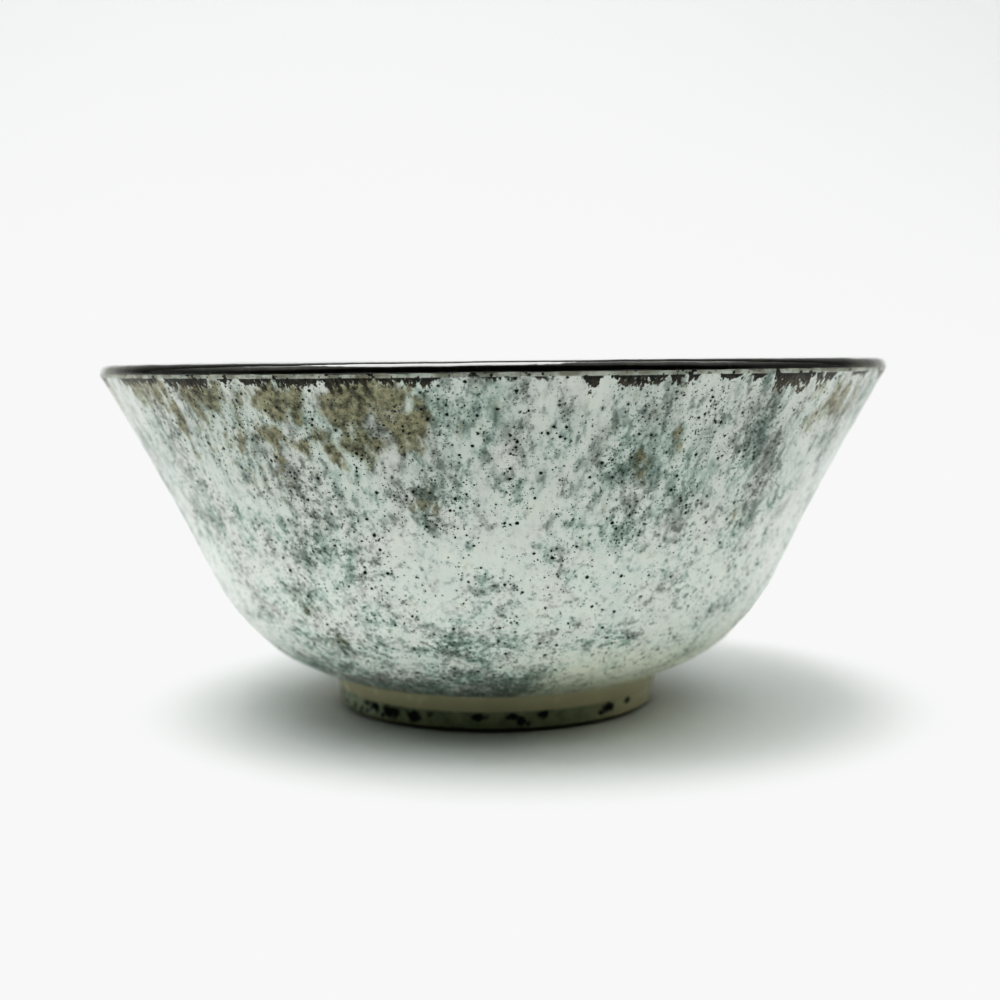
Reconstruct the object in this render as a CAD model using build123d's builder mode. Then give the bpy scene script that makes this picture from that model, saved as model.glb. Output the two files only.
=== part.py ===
"""Matcha bowl: a wide, flared tea bowl of stoneware on a low foot, glazed in five coats.

Every piece is turned about the bowl's axis. Lengths are in millimetres. The origin is the centre of
the foot's bottom face, the bowl rests on Z = 0 and +Z points out of the mouth. Sections are drawn on
the XZ plane, as (distance from the axis, height).
"""

import os

from build123d import *

# Clay bowl
rim_corner = (75.6, 66.5)  # outer corner of the lip before rounding; rounded, the clay reaches 74.8
underside = 6.2  # height of the flat underside
flat_radius = 23.2  # the underside is flat this far out, and then the belly starts to rise
belly_radius = 35.0
belly_turn = 65.0  # degrees from the flat underside to the start of the straight-looking wall
lip_width = 2.7
lip_round = 1.1
floor = 11.7  # height of the clay floor inside
floor_corner = 41.2  # where the line of the inner wall would meet the floor
floor_round = 40.0

# Foot ring
foot_bottom_outer = 30.6
foot_bottom_inner = 25.4
foot_top_outer = 31.8
foot_top_inner = 24.4
foot_knee = (30.9, 3.8)  # the foot stands nearly upright below this point and flares above it
foot_joint = 7.2  # height at which the foot's outer face meets the belly
foot_edge = 0.8  # rounding of the two edges the foot stands on

# Glaze
coat_thickness = 0.4
foot_bare = 0.6  # height of the wiped, bare clay above the resting face, outside the foot
recess_bare = 1.2  # the same inside the foot
foot_crease = 6.9  # height at which the belly's glaze ends and the foot's glaze begins
rim_seam_outside = 65.2  # lower edge of the dark rim glaze outside
rim_seam_inside = 61.0  # lower edge of the dark rim glaze inside

# A path that stays inside the clay and parts the outer coat from the inner one
core_floor = (30.0, 9.0)
core_belly = (50.0, 22.0)
core_wall = (72.2, rim_seam_inside)
core_lip = (73.2, rim_seam_outside)
foot_core = 28.0  # distance from the axis that stays inside the clay of the foot
clear = 80.0  # beyond everything, both outwards and upwards

os.makedirs("parts", exist_ok=True)

with BuildSketch(Plane.XZ) as bowl_section:
    with BuildLine():
        flat = Line((0, underside), (flat_radius, underside))
        belly = JernArc(flat @ 1, flat % 1, belly_radius, belly_turn)
        TangentArc(belly @ 1, rim_corner, tangent=belly % 1)
        lip_inner = (rim_corner[0] - lip_width, rim_corner[1])
        Polyline(rim_corner, lip_inner, (floor_corner, floor), (0, floor), (0, underside))
    make_face()
    fillet(bowl_section.vertices().group_by(Axis.Y)[-1], radius=lip_round)
    floor_ends = bowl_section.vertices().group_by(Axis.Y)[1]
    fillet(floor_ends.sort_by(Axis.X)[-1], radius=floor_round)

with BuildSketch(Plane.XZ) as foot_section:
    with BuildLine():
        Polyline(
            (foot_bottom_inner, 0),
            (foot_bottom_outer, 0),
            foot_knee,
            (foot_top_outer, foot_joint),
            (foot_top_outer, core_floor[1]),
            (foot_top_inner, core_floor[1]),
            close=True,
        )
    make_face()
    fillet(foot_section.vertices().group_by(Axis.Y)[0], radius=foot_edge)
    add(bowl_section.sketch_local, mode=Mode.SUBTRACT)

with BuildSketch(Plane.XZ) as coat_section:
    add(bowl_section.sketch_local)
    add(foot_section.sketch_local)
    offset(amount=coat_thickness)
    add(bowl_section.sketch_local, mode=Mode.SUBTRACT)
    add(foot_section.sketch_local, mode=Mode.SUBTRACT)

# Thrown stoneware bowl: floor, belly, wall and lip
with BuildPart() as clay_body:
    add(bowl_section.sketch)
    revolve(axis=Axis.Z)
clay_body.part.label = "clay_body"
export_step(clay_body.part, "parts/clay_body.step")

# Foot ring, luted to the underside of the bowl, with a recess inside it
with BuildPart() as foot_ring:
    add(foot_section.sketch)
    revolve(axis=Axis.Z)
foot_ring.part.label = "foot_ring"
export_step(foot_ring.part, "parts/foot_ring.step")

# Pale speckled glaze outside, from under the dark rim to the crease above the foot
with BuildPart() as outer_glaze:
    with BuildSketch(Plane.XZ):
        add(coat_section.sketch_local)
        Polygon(
            (core_floor[0], foot_crease),
            (clear, foot_crease),
            (clear, rim_seam_outside),
            core_lip,
            core_belly,
            core_floor,
            align=None,
            mode=Mode.INTERSECT,
        )
    revolve(axis=Axis.Z)
outer_glaze.part.label = "outer_glaze"
export_step(outer_glaze.part, "parts/outer_glaze.step")

# Glaze of the tea well, from the floor's centre to under the dark rim
with BuildPart() as inner_glaze:
    with BuildSketch(Plane.XZ):
        add(coat_section.sketch_local)
        Polygon(
            (0, core_floor[1]),
            core_floor,
            core_belly,
            core_wall,
            (0, rim_seam_inside),
            align=None,
            mode=Mode.INTERSECT,
        )
    revolve(axis=Axis.Z)
inner_glaze.part.label = "inner_glaze"
export_step(inner_glaze.part, "parts/inner_glaze.step")

# Dark iron glaze over the lip
with BuildPart() as rim_glaze:
    with BuildSketch(Plane.XZ):
        add(coat_section.sketch_local)
        Polygon(
            (0, rim_seam_inside),
            core_wall,
            core_lip,
            (clear, rim_seam_outside),
            (clear, clear),
            (0, clear),
            align=None,
            mode=Mode.INTERSECT,
        )
    revolve(axis=Axis.Z)
rim_glaze.part.label = "rim_glaze"
export_step(rim_glaze.part, "parts/rim_glaze.step")

# Clear glaze over the brushed decoration on the foot's outer face
with BuildPart() as foot_glaze:
    with BuildSketch(Plane.XZ):
        add(coat_section.sketch_local)
        Polygon(
            (foot_core, foot_bare),
            (clear, foot_bare),
            (clear, foot_crease),
            (foot_core, foot_crease),
            align=None,
            mode=Mode.INTERSECT,
        )
    revolve(axis=Axis.Z)
foot_glaze.part.label = "foot_glaze"
export_step(foot_glaze.part, "parts/foot_glaze.step")

# Glaze in the recess inside the foot
with BuildPart() as base_glaze:
    with BuildSketch(Plane.XZ):
        add(coat_section.sketch_local)
        Polygon(
            (0, recess_bare),
            (foot_core, recess_bare),
            (foot_core, core_floor[1]),
            (0, core_floor[1]),
            align=None,
            mode=Mode.INTERSECT,
        )
    revolve(axis=Axis.Z)
base_glaze.part.label = "base_glaze"
export_step(base_glaze.part, "parts/base_glaze.step")
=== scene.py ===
"""Looks of the matcha bowl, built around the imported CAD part.

Every CAD node is a turned solid, so each piece here starts from a node's section: the outline is read
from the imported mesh, drawn again as a smooth curve, given relief and turned. Lengths are millimetres
until a mesh is written. Azimuth 0 is the front of the bowl (-Y) and grows towards +X.
"""

import math

import bpy
import numpy as np
from mathutils import Euler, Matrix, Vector


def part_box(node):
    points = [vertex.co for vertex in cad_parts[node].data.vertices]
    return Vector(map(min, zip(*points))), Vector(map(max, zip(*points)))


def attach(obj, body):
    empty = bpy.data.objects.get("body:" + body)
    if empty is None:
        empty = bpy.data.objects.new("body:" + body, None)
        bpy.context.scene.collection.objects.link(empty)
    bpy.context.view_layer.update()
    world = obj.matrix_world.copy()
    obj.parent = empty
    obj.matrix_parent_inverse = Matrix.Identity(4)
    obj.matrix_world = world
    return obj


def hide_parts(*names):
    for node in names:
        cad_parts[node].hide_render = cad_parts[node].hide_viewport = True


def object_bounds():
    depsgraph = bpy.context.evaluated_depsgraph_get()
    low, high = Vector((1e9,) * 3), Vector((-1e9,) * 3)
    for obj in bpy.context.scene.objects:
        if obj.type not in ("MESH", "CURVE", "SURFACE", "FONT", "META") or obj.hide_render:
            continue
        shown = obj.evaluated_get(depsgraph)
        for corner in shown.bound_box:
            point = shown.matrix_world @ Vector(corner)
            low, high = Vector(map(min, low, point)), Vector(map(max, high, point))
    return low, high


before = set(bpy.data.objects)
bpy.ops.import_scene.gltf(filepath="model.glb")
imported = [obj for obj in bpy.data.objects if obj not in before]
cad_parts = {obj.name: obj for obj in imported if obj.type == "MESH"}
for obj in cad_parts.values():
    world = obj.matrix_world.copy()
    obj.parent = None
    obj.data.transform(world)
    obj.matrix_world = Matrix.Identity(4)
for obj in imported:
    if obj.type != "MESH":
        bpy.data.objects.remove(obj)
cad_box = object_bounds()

MM = 0.001

# ---------------------------------------------------------------- sizes taken from the frame, in mm

HEIGHT = cad_box[1][2] / MM
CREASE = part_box("foot_glaze")[1].z / MM  # the belly's glaze ends here, above the foot
COAT = (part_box("rim_glaze")[1].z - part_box("clay_body")[1].z) / MM  # glaze thickness


# ---------------------------------------------------------------- reading a turned node's section

ON_SEAM = 2e-6  # metres off the half plane y = 0
SHARP_TURN = 38  # degrees; a turn this sharp is a corner whatever its neighbours
CORNER_TURN = 8  # degrees; a corner where both neighbouring edges are long
LONG_EDGE = 1.0
FINE_TURN = 7  # degrees between neighbouring points of a redrawn curve
HIDDEN_SPACING = 3.0  # between points that lie against the clay, where nothing is seen


def seam_path(node):
    """A node's section as (radius, height) points, in order along its outline, and whether it closes.

    The tessellated solid has a ring of vertices for each point of its section, and every ring has one
    vertex in the half plane y = 0, x > 0, so the mesh edges in that half plane trace the section.
    """
    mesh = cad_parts[node].data
    spots = {}
    for v in mesh.vertices:
        if abs(v.co.y) < ON_SEAM and v.co.x > -ON_SEAM / 2:
            spots[v.index] = (round(v.co.x / MM, 3), round(v.co.z / MM, 3))
    near = {}
    for e in mesh.edges:
        a, b = (spots.get(i) for i in e.vertices)
        if a and b and a != b:
            near.setdefault(a, set()).add(b)
            near.setdefault(b, set()).add(a)
    loose = sorted(p for p, links in near.items() if len(links) == 1)
    path = [loose[0] if loose else min(near)]
    path.append(min(near[path[0]]))
    while True:
        ahead = [p for p in near[path[-1]] if p != path[-2]]
        if not ahead or ahead[0] == path[0]:
            break
        path.append(ahead[0])
    if loose:
        path = [(0.0, path[0][1])] + path + [(0.0, path[-1][1])]
    points = np.array(path)
    area = np.sum(points[:, 0] * np.roll(points[:, 1], -1) - np.roll(points[:, 0], -1) * points[:, 1])
    return (points if area > 0 else points[::-1]), not loose


def spans(points, closed):
    """The outline cut at its corners: a list of runs of points, each run smooth."""
    n = len(points)
    steps = np.diff(np.vstack([points, points[:1]]) if closed else points, axis=0)
    length = np.hypot(*steps.T)
    corners = []
    for i in range(n if closed else n - 2):
        a, b = (i - 1, i) if closed else (i, i + 1)
        turn = math.degrees(
            abs(math.atan2(np.cross(steps[a], steps[b]), np.dot(steps[a], steps[b])))
        )
        long_edges = min(length[a], length[b]) > LONG_EDGE
        if turn > SHARP_TURN or (turn > CORNER_TURN and long_edges):
            corners.append(b)
    if not closed:
        marks = [0] + corners + [n - 1]
        return [points[a : b + 1] for a, b in zip(marks, marks[1:])]
    ring = np.vstack([points, points])
    marks = corners + [corners[0] + n]
    return [ring[a : b + 1] for a, b in zip(marks, marks[1:])]


def smooth_run(run, spacing):
    """Points along a smooth curve through a run of outline points, without its last point."""
    if len(run) == 2:
        count = max(1, math.ceil(np.hypot(*(run[1] - run[0])) / spacing))
        t = np.linspace(0, 1, count + 1)[:-1, None]
        return run[0] * (1 - t) + run[1] * t
    gaps = np.hypot(*np.diff(run, axis=0).T)
    slope = np.diff(run, axis=0) / gaps[:, None]
    tangent = np.empty_like(run)
    weight = gaps[:-1, None] / (gaps[1:, None] + gaps[:-1, None])
    tangent[1:-1] = slope[:-1] * weight + slope[1:] * (1 - weight)
    tangent[0] = 2 * slope[0] - tangent[1]
    tangent[-1] = 2 * slope[-1] - tangent[-2]
    out = []
    for i, gap in enumerate(gaps):
        cosine = np.dot(tangent[i], tangent[i + 1]) / (
            np.hypot(*tangent[i]) * np.hypot(*tangent[i + 1])
        )
        bend = math.degrees(math.acos(min(1.0, cosine)))
        count = max(1, math.ceil(gap / spacing), math.ceil(bend / FINE_TURN))
        t = np.linspace(0, 1, count + 1)[:-1, None]
        out.append(
            (2 * t**3 - 3 * t**2 + 1) * run[i]
            + (t**3 - 2 * t**2 + t) * gap * tangent[i]
            + (3 * t**2 - 2 * t**3) * run[i + 1]
            + (t**3 - t**2) * gap * tangent[i + 1]
        )
    return np.vstack(out)


def nearest(points, path):
    """Distance from each point to a polyline."""
    a, b = path[:-1], path[1:]
    along = b - a
    size = np.maximum((along**2).sum(1), 1e-12)
    t = np.clip(((points[:, None] - a) * along).sum(2) / size, 0, 1)
    gap = points[:, None] - (a + t[..., None] * along)
    return np.sqrt((gap**2).sum(2)).min(1)


CLAY_PATHS = []
for clay_node in ("clay_body", "foot_ring"):
    clay_points, clay_closed = seam_path(clay_node)
    CLAY_PATHS.append(
        np.vstack([clay_points, clay_points[:1]]) if clay_closed else clay_points
    )


def unit(vectors):
    return vectors / np.maximum(np.hypot(*vectors.T), 1e-9)[:, None]


def profile(node, spacing):
    """A node's section as a dense outline: points, outward normals and how much of it is glaze surface.

    The last is 0 where the outline lies against the clay and 1 a coat's thickness away from it.
    """
    points, closed = seam_path(node)
    rows = []
    for run in spans(points, closed):
        middle = run[len(run) // 2] if len(run) > 2 else run.mean(0)
        lift = min(nearest(middle[None], path)[0] for path in CLAY_PATHS)
        rows.append(smooth_run(run, spacing if lift > 0.3 * COAT else HIDDEN_SPACING))
    if not closed:
        rows.append(points[-1:])
    dense = np.vstack(rows)
    ahead = np.roll(dense, -1, axis=0) - dense
    behind = dense - np.roll(dense, 1, axis=0)
    if not closed:
        ahead[-1], behind[0] = behind[-1], ahead[0]
    tangent = unit(unit(ahead) + unit(behind))
    normal = np.stack([tangent[:, 1], -tangent[:, 0]], axis=1)
    lift = np.min([nearest(dense, path) for path in CLAY_PATHS], axis=0)
    return dense, normal, np.clip(lift / COAT, 0, 1), closed


# ---------------------------------------------------------------- noise on the bowl's surface


def waves(azimuth, along, seed, lobes, length, count=28):
    """Smooth random relief of about unit size that closes on itself around the bowl.

    lobes is the largest number of waves around the bowl, length the shortest wave along the wall.
    """
    draw = np.random.RandomState(seed)
    total = 0.0
    for _ in range(count):
        around = draw.randint(0, lobes + 1) * draw.choice((-1, 1))
        pitch = 2 * math.pi / length * draw.uniform(0, 1)
        total = total + np.cos(around * azimuth + pitch * along + draw.uniform(0, 2 * math.pi))
    return total / math.sqrt(count / 2)


def ease(value, low, high):
    """0 below low, 1 above high, and smooth between."""
    t = np.clip((value - low) / (high - low), 0, 1)
    return t * t * (3 - 2 * t)


def spot(azimuth, depth, spots):
    """The strongest of a list of soft spots, each one given as
    (azimuth deg, depth mm, half width deg, half depth mm, strength).
    """
    field = np.zeros_like(azimuth)
    for centre, middle, wide, deep, strength in spots:
        reach = (degrees_from(azimuth, centre) / wide) ** 2 + ((depth - middle) / deep) ** 2
        field = np.maximum(field, strength * np.exp(-reach))
    return field


# ---------------------------------------------------------------- hand-made unevenness of the whole bowl

RIM_LEAN = 0.0008  # the rim stands this share of its radius higher on the right
LIP_WAVE = 0.05
OUT_OF_ROUND = 0.08
OVAL_WAVE = 0.04


def uneven(azimuth, radius, height):
    """Radius and height of a point after the slight lean, wave and ovality of a thrown bowl."""
    high = np.clip(height / HEIGHT, 0, 1)
    lift = RIM_LEAN * radius * np.sin(azimuth) * high**2
    lift = lift + LIP_WAVE * waves(azimuth, 0.0, 3, 7, 1.0, 8) * high**4
    oval = OUT_OF_ROUND * np.cos(2 * azimuth + 0.7) + OVAL_WAVE * waves(azimuth, 0.0, 4, 5, 1.0, 6)
    return radius + oval * high**2, height + lift


# ---------------------------------------------------------------- turning a section into a piece


def column(values, shape):
    """One value for each ring, repeated around the ring."""
    return np.broadcast_to(values[:, None], shape)


def turned_piece(name, node, slot, material, relief, segments, spacing, fields):
    """A closed mesh turned from a CAD node's section, with relief on its glazed side.

    relief(azimuth, along, radius, height) is the surface's height in mm; fields(...) gives the named
    values that its material reads.
    """
    dense, normal, cover, closed = profile(node, spacing)
    steps = np.hypot(*np.diff(dense, axis=0, prepend=dense[:1]).T)
    along = np.cumsum(steps)
    azimuth = np.arange(segments) * 2 * math.pi / segments
    ring_a = np.broadcast_to(azimuth, (len(dense), segments))
    shape = ring_a.shape
    radius, height = column(dense[:, 0], shape), column(dense[:, 1], shape)
    rise = relief(ring_a, column(along, shape), radius, height) * column(cover, shape)
    r = radius + column(normal[:, 0], shape) * rise
    z = height + column(normal[:, 1], shape) * rise
    on_axis = dense[:, 0] < 1e-6
    r, z = uneven(ring_a, r, z)
    r = np.where(on_axis[:, None], 0.0, r)
    xyz = np.stack([r * np.sin(ring_a), -r * np.cos(ring_a), z], axis=-1) * MM

    rows = len(dense)
    index = np.arange(rows * segments).reshape(rows, segments)
    index[on_axis] = index[on_axis][:, :1]
    xyz[on_axis] = xyz[on_axis].mean(axis=1, keepdims=True)
    below = index if closed else index[:-1]
    above = np.roll(index, -1, axis=0) if closed else index[1:]
    quads = np.stack(
        [below, np.roll(below, -1, axis=1), np.roll(above, -1, axis=1), above], axis=-1
    ).reshape(-1, 4)
    used = np.unique(quads)
    renumber = np.zeros(rows * segments, int)
    renumber[used] = np.arange(len(used))
    faces = []
    for quad in renumber[quads].tolist():
        face = list(dict.fromkeys(quad))
        if len(face) > 2:
            faces.append(face)
    mesh = bpy.data.meshes.new(name)
    mesh.from_pydata(xyz.reshape(-1, 3)[used].tolist(), [], faces)
    values = fields(ring_a, radius, height)
    for key, value in values.items():
        if value.ndim == 3:
            layer = mesh.attributes.new(key, "FLOAT_VECTOR", "POINT")
            layer.data.foreach_set("vector", value.reshape(-1, 3)[used].astype(np.float32).ravel())
        else:
            layer = mesh.attributes.new(key, "FLOAT", "POINT")
            layer.data.foreach_set("value", value.reshape(-1)[used].astype(np.float32))
    mesh.materials.append(material)
    mesh.shade_smooth()
    mesh.update()
    piece = bpy.data.objects.new(name, mesh)
    bpy.context.scene.collection.objects.link(piece)
    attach(piece, "root")
    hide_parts(node)


# ---------------------------------------------------------------- node materials


class Shader:
    """A short way to write a node material: each call adds one node and returns its output."""

    def __init__(self, owner):
        """owner is a new material or world."""
        self.owner = owner
        owner.use_nodes = True
        self.tree = owner.node_tree

    def put(self, socket, value):
        if isinstance(value, bpy.types.NodeSocket):
            self.tree.links.new(value, socket)
        elif value is not None:
            size = len(socket.default_value) if hasattr(socket.default_value, "__len__") else 0
            socket.default_value = tuple(value) + (1.0,) * (size - len(value)) if size else value

    def node(self, kind, inputs, **settings):
        made = self.tree.nodes.new("ShaderNode" + kind)
        for key, value in settings.items():
            setattr(made, key, value)
        for key, value in inputs.items():
            self.put(made.inputs[key], value)
        return made

    def math(self, operation, a, b=None, c=None):
        return self.node("Math", {0: a, 1: b, 2: c}, operation=operation).outputs[0]

    def add(self, a, b):
        return self.math("ADD", a, b)

    def times(self, a, b):
        return self.math("MULTIPLY", a, b)

    def ease(self, value, low, high, out_low=0.0, out_high=1.0):
        inputs = {0: value, 1: low, 2: high, 3: out_low, 4: out_high}
        return self.node("MapRange", inputs, interpolation_type="SMOOTHSTEP").outputs[0]

    def field(self, name):
        return self.node("Attribute", {}, attribute_name=name).outputs["Fac"]

    def vector(self, name):
        return self.node("Attribute", {}, attribute_name=name).outputs["Vector"]

    def place(self):
        """Position on the bowl, in mm."""
        spot_at = self.node("TexCoord", {}).outputs["Object"]
        return self.node("VectorMath", {0: spot_at, "Scale": 1 / MM}, operation="SCALE").outputs[0]

    def noise(self, vector, size, detail=2.0, rough=0.5, distort=0.0):
        inputs = {"Vector": vector, "Scale": 1 / size, "Detail": detail, "Roughness": rough}
        inputs["Distortion"] = distort
        return self.node("TexNoise", inputs).outputs[0]

    def cells(self, vector, size):
        """Distance to the nearest of a scatter of points, in units of size, and two random values."""
        made = self.node("TexVoronoi", {"Vector": vector, "Scale": 1 / size})
        parts = self.node("SeparateColor", {0: made.outputs["Color"]}).outputs
        return made.outputs["Distance"], parts[0], parts[1]

    def mix(self, share, a, b):
        made = self.node("Mix", {0: share, 6: a, 7: b}, data_type="RGBA", clamp_factor=True)
        return made.outputs[2]

    def ramp(self, value, stops):
        """A colour for a value from 0 to 1, from (position, colour) pairs."""
        made = self.node("ValToRGB", {0: value})
        band = made.color_ramp
        while len(band.elements) < len(stops):
            band.elements.new(0.5)
        for element, (position, color) in zip(band.elements, stops):
            element.position = position
            element.color = (*color, 1.0)
        return made.outputs[0]

    def shaken(self, vector, size, amount):
        """A vector moved about by noise, so that what is drawn with it gets ragged outlines."""
        made = self.node("TexNoise", {"Vector": vector, "Scale": 1 / size, "Detail": 1.0})
        away = self.node("VectorMath", {0: made.outputs[1], 1: (0.5, 0.5, 0.5)}, operation="SUBTRACT")
        push = self.node("VectorMath", {0: away.outputs[0], "Scale": amount}, operation="SCALE")
        return self.node("VectorMath", {0: vector, 1: push.outputs[0]}, operation="ADD").outputs[0]

    def stretched(self, vector, tall):
        """A vector for marks that are drawn out up and down."""
        return self.node("VectorMath", {0: vector, 1: (1, 1, tall)}, operation="MULTIPLY").outputs[0]

    def scaled(self, color, share):
        return self.node("VectorMath", {0: color, "Scale": share}, operation="SCALE").outputs[0]

    def over(self, a, b):
        """Two coverages laid over each other: 1 - (1 - a)(1 - b)."""
        return self.math("SUBTRACT", self.add(a, b), self.times(a, b))

    def bump(self, height, depth, normal=None):
        """A bump whose height input of 1 stands for a depth in mm."""
        inputs = {"Height": height, "Distance": depth * MM, "Strength": 1.0, "Normal": normal}
        return self.node("Bump", inputs).outputs[0]

    def finish(self, **inputs):
        names = {
            "color": "Base Color",
            "roughness": "Roughness",
            "normal": "Normal",
            "ior": "IOR",
        }
        surface = self.tree.nodes["Principled BSDF"]
        for key, value in inputs.items():
            self.put(surface.inputs[names[key]], value)
        return self.owner


# Colours as linear RGB. The tones run from the palest glaze to the darkest.
TONES = (
    (0.0, (0.515, 0.543, 0.502)),
    (0.28, (0.45, 0.48, 0.455)),
    (0.55, (0.285, 0.315, 0.295)),
    (0.80, (0.135, 0.160, 0.145)),
    (1.0, (0.032, 0.042, 0.036)),
)
CREAM_TONES = (
    (0.0, (0.56, 0.57, 0.48)),
    (0.35, (0.47, 0.49, 0.41)),
    (1.0, (0.18, 0.20, 0.16)),
)
INK = (0.006, 0.013, 0.010)
GRIT = (0.03, 0.035, 0.03)
MAUVE = (1.04, 0.985, 0.995)  # the mottles drift between these two tints
TEAL = (0.93, 1.01, 0.985)
BLOT_DARK = (0.007, 0.0065, 0.005)
BLOT_BROWN = (0.075, 0.066, 0.044)
IRON_TONES = (
    (0.10, (0.29, 0.28, 0.20)),
    (0.45, (0.195, 0.19, 0.127)),
    (0.75, (0.105, 0.102, 0.065)),
    (1.0, (0.032, 0.031, 0.020)),
)
PALE_LINE = (0.20, 0.20, 0.16)
BELLY_PAINTED_LIGHT = 1.56  # painted light: the glaze is painted paler low down on the belly, for the light that the floor throws up onto it
LEDGE = 0.66  # depth in mm at which the blots under the rim start
BUFF = (0.68, 0.655, 0.50)
BUFF_SHADE = (0.57, 0.55, 0.405)
FOOT_GREEN = (0.45, 0.485, 0.35)
FOOT_GREEN_DARK = (0.31, 0.35, 0.245)
FOOT_MILK = (0.56, 0.60, 0.50)
DAB = (0.006, 0.016, 0.016)
# partly painted shade: the clay is a darker brown than buff stoneware, so that the bare edge under the
# foot also serves as the dark line where it meets the floor
CLAY = (0.24, 0.20, 0.145)
CLAY_SHADE = (0.15, 0.125, 0.085)
GROG = (0.07, 0.05, 0.035)
RIM_TONES = (
    (0.50, (0.006, 0.006, 0.005)),
    (0.66, (0.030, 0.028, 0.019)),
    (0.85, (0.12, 0.118, 0.085)),
)


def specks(s, place, cell, least, most, density):
    """Small round dots with ragged edges, and a wide soft halo around each."""
    distance, size_draw, keep = s.cells(s.shaken(place, cell * 0.4, cell * 0.35), cell)
    size = s.times(size_draw, size_draw)
    reach = s.math("MULTIPLY_ADD", size, most - least, least)
    chosen = s.math("LESS_THAN", keep, density)
    dot = s.times(s.ease(s.math("SUBTRACT", distance, reach), -0.04, 0.05, 1.0, 0.0), chosen)
    halo = s.times(s.ease(distance, 0.10, 0.62, 1.0, 0.0), chosen)
    return dot, s.times(halo, size_draw)


def glaze_pattern(s):
    """Colour of the speckled glaze: milky white, soft mottles, iron clouds and black specks."""
    flow, place = s.vector("flow"), s.place()
    cloud, iron = s.field("cloud"), s.field("iron")
    drift = s.ease(s.noise(flow, 9, 3, 0.6), 0.3, 0.7, -0.32, 0.32)
    patch = s.add(s.math("MULTIPLY_ADD", cloud, 0.66, 0.27), drift)

    haze = s.ease(s.noise(flow, 3.6, 3, 0.55), 0.32, 0.66)
    haze = s.times(haze, s.ease(patch, 0.0, 1.0, 0.25, 0.9))
    broad = s.ease(s.add(s.noise(flow, 1.9, 2, 0.5, 0.3), s.times(patch, 0.15)), 0.48, 0.80)
    fine = s.ease(s.add(s.noise(flow, 1.15, 2, 0.5), s.times(patch, 0.16)), 0.54, 0.82)
    pepper = s.ease(s.add(s.noise(place, 0.5, 2, 0.6), s.times(patch, 0.12)), 0.60, 0.80)
    clump = s.ease(s.noise(flow, 3.2, 2, 0.5), 0.42, 0.62, 0.25, 1.5)
    crowd = s.add(patch, s.times(iron, 0.5))
    density = s.times(s.ease(crowd, -0.2, 1.0, 0.10, 0.85), clump)
    dot, halo = specks(s, place, 0.95, 0.08, 0.30, density)
    density = s.times(s.ease(crowd, -0.2, 1.0, 0.20, 0.85), clump)
    grit, _ = specks(s, place, 0.55, 0.14, 0.36, density)

    depth = s.over(s.times(haze, 0.45), s.times(broad, 0.42))
    depth = s.over(depth, s.times(fine, 0.50))
    depth = s.over(depth, s.times(pepper, 0.55))
    depth = s.over(depth, s.times(halo, 0.62))
    depth = s.add(depth, s.ease(s.noise(place, 0.42, 2, 0.7), 0.25, 0.75, -0.04, 0.05))
    color = s.ramp(depth, TONES)
    tint = s.ease(s.noise(flow, 6, 2, 0.5), 0.35, 0.65)
    tint = s.mix(s.times(depth, 1.6), (1, 1, 1), s.mix(tint, MAUVE, TEAL))
    color = s.node("VectorMath", {0: color, 1: tint}, operation="MULTIPLY").outputs[0]
    color = s.mix(s.times(s.field("warm"), 0.7), color, s.ramp(depth, CREAM_TONES))

    # painted light: the glaze grows paler towards the belly, standing in for light bounced up from the
    # floor
    color = s.scaled(color, s.ease(s.field("depth"), 8, 60, 1.0, BELLY_PAINTED_LIGHT))

    rust = s.add(iron, s.ease(s.noise(flow, 2.1, 4, 0.62), 0.25, 0.75, -0.42, 0.42))
    soil = s.ease(s.noise(place, 1.3, 4, 0.68), 0.30, 0.70)
    soil = s.math("MULTIPLY_ADD", depth, 0.35, s.times(soil, 0.75))
    color = s.mix(s.times(s.ease(rust, 0.20, 0.74), 0.92), color, s.ramp(soil, IRON_TONES))
    color = s.mix(dot, color, INK)
    color = s.mix(s.times(grit, 0.8), color, GRIT)
    return color, s.math("MAXIMUM", dot, s.times(grit, 0.4))


def speckled_glaze():
    s = Shader(bpy.data.materials.new("speckled_glaze"))
    color, pits = glaze_pattern(s)
    place, blots, depth = s.place(), s.field("blots"), s.field("depth")

    # a pale line parts the dark rim from the blots of iron that hang from a crisp edge
    ragged = s.noise(s.stretched(place, 0.3), 0.8, 3, 0.65)
    gaps = s.noise(s.stretched(place, 0.2), 1.9, 2, 0.5)
    below = s.math("SUBTRACT", depth, LEDGE)
    length = s.times(blots, s.ease(ragged, 0.28, 0.72, 0.15, 1.7))
    inside = s.ease(s.math("SUBTRACT", length, below), -0.15, 0.35)
    start = s.add(below, s.ease(s.noise(place, 1.7, 3, 0.6), 0.56, 0.64, 0.0, 0.75))
    inside = s.times(inside, s.ease(start, -0.1, 0.1))
    inside = s.times(inside, s.ease(s.math("MULTIPLY_ADD", blots, 0.05, gaps), 0.36, 0.43))
    shade = s.ease(s.math("MULTIPLY_ADD", below, 0.12, s.noise(place, 0.8, 3, 0.7)), 0.46, 0.80)
    blot_color = s.mix(shade, BLOT_DARK, BLOT_BROWN)
    line = s.ease(s.math("MULTIPLY_ADD", s.noise(place, 1.2, 2), 0.3, below), 0.0, 0.2, 1.0, 0.0)
    shown = s.ease(s.noise(place, 3.5, 2), 0.38, 0.62, 0.35, 0.9)
    color = s.mix(s.times(line, shown), color, PALE_LINE)
    color = s.mix(s.times(inside, 0.96), color, blot_color)

    normal = s.bump(s.noise(place, 2.2, 2), 0.05)
    normal = s.bump(s.math("SUBTRACT", 1.0, pits), 0.03, normal)
    rough = s.ease(s.noise(place, 5, 3), 0.3, 0.7, 0.34, 0.44)
    return s.finish(color=color, roughness=rough, normal=normal, ior=1.42)


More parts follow.
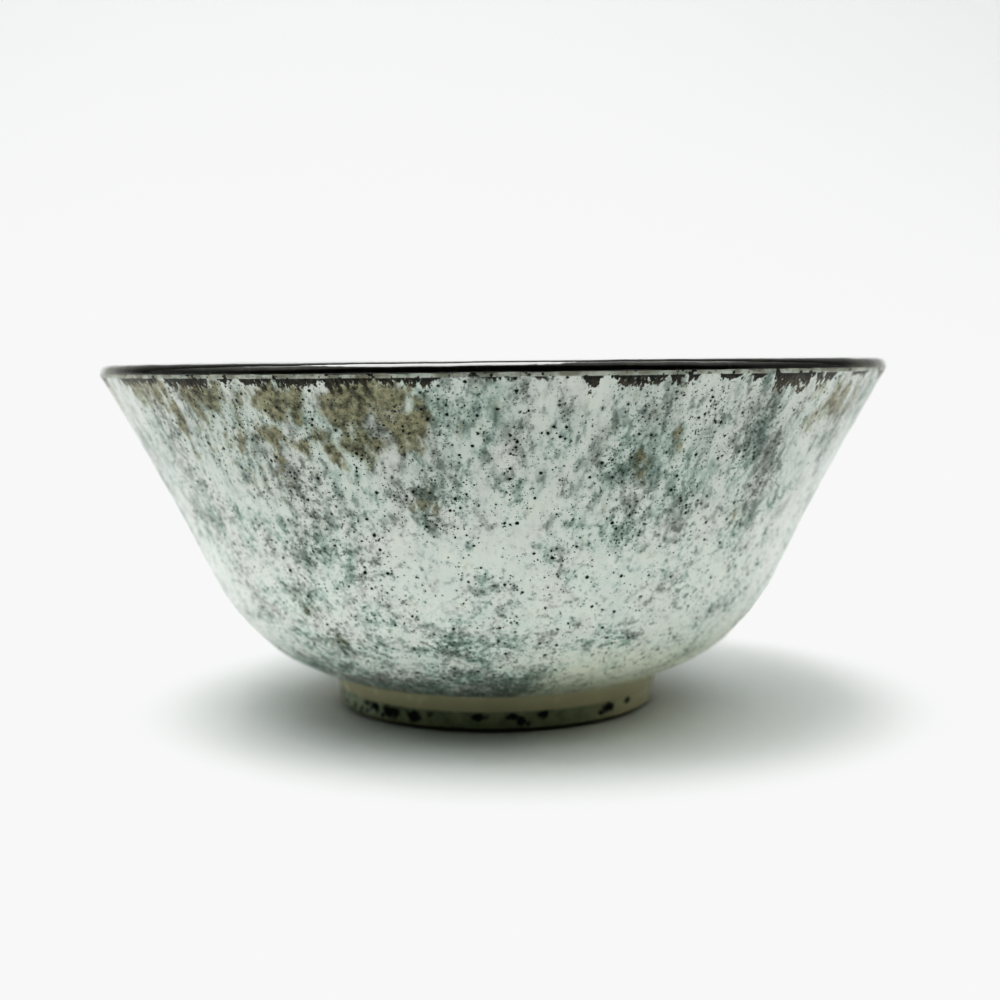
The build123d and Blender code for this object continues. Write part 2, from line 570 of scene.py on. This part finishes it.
def rim_glaze_material():
    s = Shader(bpy.data.materials.new("iron_rim_glaze"))
    place = s.place()
    # the rim's tone follows noise in the glaze's thickness and a painted sheen towards its left and
    # right ends
    thin = s.add(s.noise(place, 1.1, 4, 0.7), s.times(s.field("thin"), 0.28))
    color = s.ramp(thin, RIM_TONES)
    normal = s.bump(s.noise(place, 2.4, 3), 0.06)
    rough = s.ease(s.noise(place, 3, 2), 0.3, 0.7, 0.05, 0.14)
    return s.finish(color=color, roughness=rough, normal=normal, ior=1.8)


def foot_glaze_material():
    s = Shader(bpy.data.materials.new("foot_clear_glaze"))
    place = s.place()
    band = s.field("band")
    color = s.mix(s.noise(place, 5, 4, 0.6), BUFF, BUFF_SHADE)
    green = s.mix(s.ease(s.noise(place, 2.5, 4, 0.65), 0.35, 0.65), FOOT_GREEN, FOOT_GREEN_DARK)
    color = s.mix(s.times(band, s.field("centre")), color, green)
    milk = s.mix(s.ease(s.noise(place, 1.6, 3, 0.6), 0.40, 0.62), FOOT_MILK, FOOT_GREEN)
    color = s.mix(s.times(band, s.field("left")), color, milk)
    dot, halo = specks(s, place, 1.1, 0.15, 0.5, s.times(band, s.field("left")))
    color = s.mix(s.add(dot, s.times(halo, 0.4)), color, DAB)
    edge = s.ease(s.noise(place, 1.0, 3, 0.6), 0.3, 0.7, -0.22, 0.22)
    blot = s.ease(s.add(s.field("dab"), edge), 0.22, 0.72)
    color = s.mix(s.times(blot, 0.95), color, DAB)
    normal = s.bump(s.noise(place, 2.0, 2), 0.04)
    rough = s.ease(s.noise(place, 4, 2), 0.3, 0.7, 0.16, 0.28)
    return s.finish(color=color, roughness=rough, normal=normal, ior=1.5)


def clay_material():
    s = Shader(bpy.data.materials.new("stoneware_clay"))
    place = s.place()
    # painted shade in part: these darkened clay colours also paint the dark line where the foot meets
    # the floor
    color = s.mix(s.noise(place, 4, 4, 0.6), CLAY, CLAY_SHADE)
    distance, keep, _ = s.cells(place, 0.9)
    grog = s.times(s.ease(distance, 0.10, 0.22, 1.0, 0.0), s.math("LESS_THAN", keep, 0.3))
    color = s.mix(s.times(grog, 0.8), color, GROG)
    normal = s.bump(s.noise(place, 0.45, 4, 0.7), 0.08)
    return s.finish(color=color, roughness=0.82, normal=normal, ior=1.45)


# ---------------------------------------------------------------- glaze relief and fields

FLOW_RADIUS = 60.0
INSIDE_SHIFT = 500.0  # far enough along the texture for the inside to differ from the outside

# Soft places in the speckled glaze, as spot() takes them; depth is measured down from the rim's seam.
MOTTLED = (
    (-48, 12, 8, 10, 0.5),
    (-28, 10, 10, 10, 0.5),
    (-50, 18, 6, 8, 0.25),
    (-41, 6, 5, 8, 0.5),
    (-33, 14, 6, 12, 0.7),
    (-27, 22, 5, 14, 0.95),
    (-22, 22, 5, 9, 0.9),
    (-23, 33, 8, 8, 0.6),
    (-33, 38, 6, 14, 0.65),
    (-32, 51, 5, 5, 0.95),
    (-40, 52, 6, 8, 0.55),
    (-13, 24, 4, 6, 0.5),
    (-7, 23, 4.5, 7, 0.95),
    (-1, 4, 6, 7, 0.5),
    (8, 15, 7, 10, 0.6),
    (17, 14, 6, 9, 0.8),
    (24, 16, 6, 14, 0.65),
    (28, 27, 4, 6, 0.75),
    (20, 27, 5, 7, 0.5),
    (32, 8, 4, 6, 0.6),
    (38, 16, 5, 12, 0.95),
    (44, 20, 5, 13, 0.85),
    (52, 12, 7, 9, 0.5),
    (60, 9, 10, 10, 0.8),
    (-60, 16, 8, 12, 0.6),
    (-52, 30, 12, 20, 0.55),
    (-46, 46, 8, 10, 0.4),
    (60, 30, 10, 20, 0.3),
    (-7, 51, 5, 4.5, 0.9),
    (4, 53, 5, 4, 0.5),
    (26, 52, 6, 4, 0.6),
    (37, 53, 5, 4, 0.6),
    (-12, 44, 8, 5, 0.3),
)
QUIET = (
    (0, 29, 7, 6, 0.5),
    (5, 41, 9, 7, 0.5),
    (16, 48, 9, 5, 0.5),
    (31, 42, 9, 8, 0.55),
    (33, 24, 4, 5, 0.4),
    (56, 40, 12, 26, 0.35),
    (-20, 18, 2.5, 3, 0.3),
    (-13, 36, 8, 6, 0.35),
    (-57, 25, 8, 14, 0.1),
    (30, 60, 28, 7, 0.5),
)
IRON = (
    (-52, 3, 7, 4, 0.75),
    (-46, 8, 4, 7, 0.6),
    (-36, 14, 4, 6, 0.5),
    (-30, 16, 3, 5, 0.5),
    (-21, 13, 3.5, 5, 0.7),
    (-40, 4, 6, 4, 0.85),
    (-33, 6, 2.5, 5, 0.6),
    (-29, 11, 4, 5, 0.6),
    (-42, 13, 2.5, 3, 0.4),
    (-37, 12, 3, 3, 0.45),
    (-26.5, 5.5, 5, 4.5, 0.95),
    (-25, 13, 3, 4, 0.6),
    (-22.5, 17, 3, 3, 0.45),
    (-17, 6, 5, 5, 0.95),
    (-17, 12, 3.5, 4, 0.95),
    (-10, 9.5, 4.5, 4.5, 0.9),
    (-13, 4, 6, 4, 0.85),
    (-8.5, 23, 2.2, 3, 0.75),
    (24.5, 12, 1.2, 2.5, 0.75),
    (20, 16, 2, 3, 0.5),
    (54, 6, 9, 6, 0.5),
    (-68, 6, 8, 8, 0.5),
    (41, 25, 3, 4, 0.4),
    (-36, 45, 3, 3, 0.45),
    (-31, 52, 2.5, 2.5, 0.5),
    (112, 6, 16, 6, 0.9),
    (125, 15, 6, 6, 0.7),
    (-150, 5, 12, 5, 0.85),
    (-96, 7, 8, 6, 0.6),
    (172, 10, 6, 5, 0.5),
)
# Dark blots that hang from a straight edge under the rim: (azimuth deg, half width deg, length mm)
BLOTS = (
    (-53, 5.5, 1.4),
    (-41, 4.0, 2.0),
    (-33.7, 0.9, 1.2),
    (-26, 5.3, 1.6),
    (-17, 2.9, 1.8),
    (-9.6, 3.5, 1.3),
    (1, 1.9, 0.7),
    (6, 1.0, 0.7),
    (11.7, 0.9, 2.6),
    (17.5, 3.0, 1.5),
    (23.2, 1.7, 1.7),
    (29.6, 1.3, 1.5),
    (34, 1.0, 1.2),
    (40.5, 3.5, 3.0),
    (47, 2.0, 2.2),
    (57, 3.0, 0.9),
    (75, 9.0, 1.6),
    (98, 10.0, 2.4),
    (121, 8.0, 1.5),
    (146, 11.0, 2.0),
    (171, 8.0, 1.3),
    (-75, 9.0, 1.7),
    (-99, 11.0, 2.2),
    (-124, 9.0, 1.5),
    (-152, 12.0, 1.9),
)


def degrees_from(azimuth, centre):
    """Angle from a centre, in degrees, the short way round."""
    return (np.degrees(azimuth) - centre + 180) % 360 - 180


def side_of(azimuth, centre, half, soft):
    """1 within half degrees of a centre, fading to 0 over soft degrees."""
    return ease(half - np.abs(degrees_from(azimuth, centre)), -soft, soft)


def outer_wall():
    """Points down the outer wall from the rim's seam, and the distance to each along the wall."""
    points, _, cover, _ = profile("outer_glaze", 1.0)
    wall = points[cover > 0.9]
    wall = wall[np.argsort(-wall[:, 1])]
    return wall, np.cumsum(np.hypot(*np.diff(wall, axis=0, prepend=wall[:1]).T))


OUTSIDE, OUTSIDE_DEPTH = outer_wall()


def outside_depth(height):
    """Distance down the outer wall from the rim's seam, in mm."""
    return np.interp(-height, -OUTSIDE[:, 1], OUTSIDE_DEPTH)


def inside_depth(radius, height):
    """Distance down the inner wall from the rim, in mm, near enough for laying out the pattern."""
    return (HEIGHT - height) * 1.15 + np.maximum(0, 45 - radius) * 0.6


def flow_space(azimuth, radius, depth, shift):
    """Texture space in which runs are long near the rim and marks are even lower down."""
    stretch = 0.55 + 0.45 * ease(depth, 14, 42)
    order = np.argsort(depth[:, 0])
    sorted_depth = depth[order, 0]
    rate = (stretch * FLOW_RADIUS / np.maximum(radius, 12))[order, 0]
    gaps = np.diff(sorted_depth, prepend=sorted_depth[0])
    run = np.empty(len(order))
    run[order] = np.cumsum(rate * gaps)
    down = np.broadcast_to(run[:, None], azimuth.shape) + shift
    return np.stack([FLOW_RADIUS * np.sin(azimuth), FLOW_RADIUS * np.cos(azimuth), down], axis=-1)


def outside_fields(azimuth, radius, height):
    depth = outside_depth(height)
    front = side_of(azimuth, 0, 68, 14)
    wander = 0.45 + 0.4 * waves(azimuth, depth, 31, 9, 22.0)
    cloud = spot(azimuth, depth, MOTTLED) * front + wander * (1 - front)
    band = ease(depth, 54, 63) * (1 - side_of(azimuth, 42, 30, 9))
    blots = np.zeros_like(azimuth)
    for centre, half, length in BLOTS:
        blots = np.maximum(blots, length * side_of(azimuth, centre, half, 0.5))
    return {
        "flow": flow_space(azimuth, radius, depth, 0.0),
        "cloud": np.maximum(cloud - spot(azimuth, depth, QUIET) * front, band),
        "iron": spot(azimuth, depth, IRON),
        "warm": ease(depth, 48, 66) * side_of(azimuth, 45, 35, 12),
        "blots": blots,
        "depth": depth,
    }


def inside_fields(azimuth, radius, height):
    depth = inside_depth(radius, height)
    zero = 0 * depth
    ring = 1.1 * ease(17 - depth, 0, 12)
    drips = 0.25 * waves(azimuth, depth, 22, 14, 30.0) * ease(20 - depth, 0, 8)
    return {
        "flow": flow_space(azimuth, radius, depth, INSIDE_SHIFT),
        "cloud": 0.4 + 0.35 * waves(azimuth, depth, 21, 6, 30.0),
        "iron": ring + drips,
        "warm": zero,
        "blots": zero,
        "depth": zero + 9.0,
    }


# Brushed dabs that hang from the knee of the foot, as spot() takes them, with heights for depths.
DABS = (
    (-51, 3.1, 1.6, 0.6, 0.7),
    (-46, 2.9, 2.4, 0.8, 0.9),
    (-38.5, 2.5, 4.0, 1.25, 1.05),
    (-29, 2.3, 2.7, 1.25, 1.0),
    (-22.5, 3.0, 1.9, 0.7, 0.75),
    (-6, 2.9, 3.0, 0.8, 0.95),
    (5.5, 2.9, 2.6, 0.8, 0.95),
    (8.5, 2.0, 1.8, 1.0, 0.9),
    (11, 1.4, 1.4, 0.6, 0.7),
    (16, 3.0, 1.7, 0.9, 0.9),
    (42.5, 2.7, 3.2, 0.9, 0.95),
    (39, 2.0, 1.8, 0.5, 0.7),
    (53, 3.0, 2.4, 0.7, 0.85),
    (84, 2.7, 3.4, 1.0, 0.95),
    (97, 3.0, 2.2, 0.7, 0.8),
    (128, 2.5, 4.0, 1.2, 1.0),
    (151, 2.9, 2.4, 0.8, 0.9),
    (178, 2.6, 3.6, 1.1, 1.0),
    (-160, 3.0, 2.0, 0.7, 0.8),
    (-131, 2.4, 3.8, 1.2, 1.0),
    (-104, 2.8, 2.8, 0.9, 0.9),
    (-79, 2.6, 3.2, 1.0, 0.95),
)
KNEE = 3.8  # height of the knee, below which the foot is dabbed and a little narrower


def foot_fields(azimuth, radius, height):
    band = ease(KNEE - height, -0.05, 0.12)
    return {
        "dab": spot(azimuth, height, DABS) * band,
        "band": band,
        "left": side_of(azimuth, -62, 19, 8),
        "centre": side_of(azimuth, -15, 52, 16),
    }


def base_fields(azimuth, radius, height):
    zero = 0 * azimuth
    return {"dab": zero, "band": zero, "left": zero, "centre": zero}


def rim_fields(azimuth, radius, height):
    # painted sheen, with thinner glaze: the rim is painted paler towards its left and right ends as seen
    # from the front, where it reflects the bright sides of the tent
    side_sheen = ease(np.abs(np.sin(azimuth)), 0.70, 0.97)
    return {"thin": side_sheen * (0.8 + 0.35 * waves(azimuth, height, 41, 26, 9.0))}


def no_fields(azimuth, radius, height):
    return {}


# Relief, in mm
THROWING_RINGS = 0.035
INSIDE_RINGS = 0.05
GLAZE_RUNS = 0.03
BEAD = 0.16  # the glaze gathers in a bead just above the crease
BEAD_SIZE = 0.5
RIPPLE = 0.02
KNEE_STEP = 0.10


def outside_relief(azimuth, along, radius, height):
    depth = outside_depth(height)
    rings = THROWING_RINGS * waves(azimuth, depth, 5, 2, 6.0)
    runs = GLAZE_RUNS * waves(azimuth, depth, 6, 90, 40.0) * ease(30 - depth, 0, 25)
    bead = BEAD * np.exp(-(((height - CREASE - BEAD_SIZE) / BEAD_SIZE) ** 2))
    return rings + runs + bead


def inside_relief(azimuth, along, radius, height):
    return INSIDE_RINGS * waves(azimuth, inside_depth(radius, height), 8, 2, 7.0)


def rim_relief(azimuth, along, radius, height):
    return RIPPLE * waves(azimuth, along, 9, 60, 6.0)


def foot_relief(azimuth, along, radius, height):
    step = KNEE_STEP * ease(KNEE - height, -0.05, 0.05)
    return RIPPLE * waves(azimuth, along, 10, 40, 5.0) - step


def flat_relief(azimuth, along, radius, height):
    return 0 * azimuth


glaze = speckled_glaze()
clay = clay_material()
rim = rim_glaze_material()
foot = foot_glaze_material()

# Name, CAD node, slot, material, relief, points around, spacing of the section's points in mm, fields
PIECES = (
    ("glaze_outside", "outer_glaze", "speckled_glaze", glaze, outside_relief, 720, 0.6, outside_fields),
    ("glaze_inside", "inner_glaze", "speckled_glaze", glaze, inside_relief, 480, 0.8, inside_fields),
    ("glaze_rim", "rim_glaze", "iron_glaze", rim, rim_relief, 720, 0.5, rim_fields),
    ("glaze_foot", "foot_glaze", "clear_glaze", foot, foot_relief, 720, 0.2, foot_fields),
    ("glaze_base", "base_glaze", "clear_glaze", foot, flat_relief, 240, 0.8, base_fields),
    ("foot_clay", "foot_ring", "stoneware", clay, flat_relief, 480, 0.5, no_fields),
    ("bowl_clay", "clay_body", "stoneware", clay, flat_relief, 240, 2.0, no_fields),
)
for piece_row in PIECES:
    turned_piece(*piece_row)

# ---------------------------------------------------------------- stage, light and camera

# Lengths in this section are metres.
TENT = 0.82  # strength of the tent away from the onlooker
LEFT_BOOST = 0.24  # the upper part of the tent is this much brighter on the left
DIM = 0.05  # its strength towards the onlooker
DIM_FROM = 0.04  # how far round towards the onlooker the tent starts to dim
DIM_TO = 0.52
HORIZON = 0.70  # the tent is dimmer than its average near the table and brighter above
ZENITH = 1.65
LAMP = 8.0  # watts, overhead
BEYOND = 0.8  # what is seen past the edge of the floor is about as pale as the floor
WALL_LAMP = 7.2  # watts, on the wall behind
WALL_AT = 1.1  # metres behind the bowl's axis
SWEEP = 0.5  # radius of the curve between floor and wall
HALF_FLOOR = 3.0
WALL_TOP = 3.0
SWEEP_STEPS = 16
WORLD_COLOR = (0.985, 1.0, 0.97, 1)
TONE_CURVE = ((0.06, 0.011), (0.15, 0.063), (0.3, 0.22), (0.5, 0.50), (0.7, 0.75), (0.88, 0.91))
WHITE_POINT = 0.94
EYE = (0.00135, -0.2961, 0.0668)
PITCH = 5.29  # degrees below level
ROLL = 0.52  # the camera was held a little askew
LENS = 53.8
APERTURE = 14
FOCUS = (0.0, -0.066, 0.04)  # the front of the belly


def backdrop():
    """A pale floor that sweeps up into a wall behind the bowl."""
    points = [(-HALF_FLOOR, 0.0)]
    for step in range(SWEEP_STEPS + 1):
        turn = math.pi / 2 * step / SWEEP_STEPS
        points.append((WALL_AT - SWEEP + SWEEP * math.sin(turn), SWEEP - SWEEP * math.cos(turn)))
    points.append((WALL_AT, WALL_TOP))
    verts, faces = [], []
    for y, z in points:
        verts += [(-HALF_FLOOR, y, z), (HALF_FLOOR, y, z)]
    for i in range(len(points) - 1):
        faces.append((2 * i, 2 * i + 1, 2 * i + 3, 2 * i + 2))
    mesh = bpy.data.meshes.new("backdrop")
    mesh.from_pydata(verts, [], faces)
    mesh.shade_smooth()
    sheet = bpy.data.objects.new("backdrop", mesh)
    bpy.context.scene.collection.objects.link(sheet)
    s = Shader(bpy.data.materials.new("backdrop_paper"))
    paper = s.mix(s.noise(s.place(), 400, 2), (0.86, 0.865, 0.87), (0.88, 0.885, 0.89))
    mesh.materials.append(s.finish(color=paper, roughness=0.9))


def area_light(name, place, target, size, power):
    data = bpy.data.lights.new(name, "AREA")
    data.shape = "RECTANGLE"
    data.size, data.size_y = size
    data.energy = power
    lamp = bpy.data.objects.new(name, data)
    bpy.context.scene.collection.objects.link(lamp)
    lamp.location = place
    lamp.rotation_euler = (Vector(target) - Vector(place)).to_track_quat("-Z", "Y").to_euler()


def studio():
    """A light tent: bright above, behind and at the sides, and dim where the onlooker stands."""
    world = bpy.data.worlds.new("studio")
    bpy.context.scene.world = world
    s = Shader(world)
    sky = s.tree.nodes["Background"]
    toward = s.node("SeparateXYZ", {0: s.node("TexCoord", {}).outputs["Generated"]}).outputs
    front = s.math("SUBTRACT", s.math("MULTIPLY", toward[1], -1.0), s.times(toward[2], 0.28))
    left = s.math("MAXIMUM", s.math("MULTIPLY", toward[0], -1.0), 0.0)
    boost = s.math("MULTIPLY_ADD", left, LEFT_BOOST, 1.0)
    upper = s.times(s.ease(toward[2], 0.25, 0.75, 0.0, ZENITH - HORIZON), boost)
    facing = s.ease(front, DIM_FROM, DIM_TO, TENT, DIM)
    strength = s.times(s.add(upper, HORIZON), facing)
    seen = s.node("LightPath", {}).outputs["Is Camera Ray"]
    s.put(sky.inputs["Strength"], s.math("MAXIMUM", strength, s.times(seen, BEYOND)))
    sky.inputs["Color"].default_value = WORLD_COLOR
    area_light("overhead", (-0.15, -0.05, 0.95), (-0.15, -0.05, 0), (0.62, 0.70), LAMP)
    area_light("wall_wash", (0, 0.25, 1.5), (0, WALL_AT, 0.6), (2.4, 0.5), WALL_LAMP)


def developing():
    """A contrasty picture: crushed shadows and soft whites."""
    view = bpy.context.scene.view_settings
    view.view_transform = "Standard"
    view.use_curve_mapping = True
    curve = view.curve_mapping.curves[3]
    for point in TONE_CURVE:
        curve.points.new(*point)
    curve.points[-1].location = (1.0, WHITE_POINT)
    view.curve_mapping.extend = "HORIZONTAL"
    view.curve_mapping.update()


def camera():
    focus = bpy.data.objects.new("focus", None)
    focus.location = FOCUS
    bpy.context.scene.collection.objects.link(focus)
    data = bpy.data.cameras.new("camera")
    data.sensor_width = 36
    data.lens = LENS
    data.clip_start = 0.01
    data.dof.use_dof = True
    data.dof.focus_object = focus
    data.dof.aperture_fstop = APERTURE
    eye = bpy.data.objects.new("camera", data)
    bpy.context.scene.collection.objects.link(eye)
    eye.location = EYE
    eye.rotation_euler = Euler((math.radians(90 - PITCH), math.radians(ROLL), 0))
    bpy.context.scene.camera = eye


backdrop()
studio()
camera()
developing()
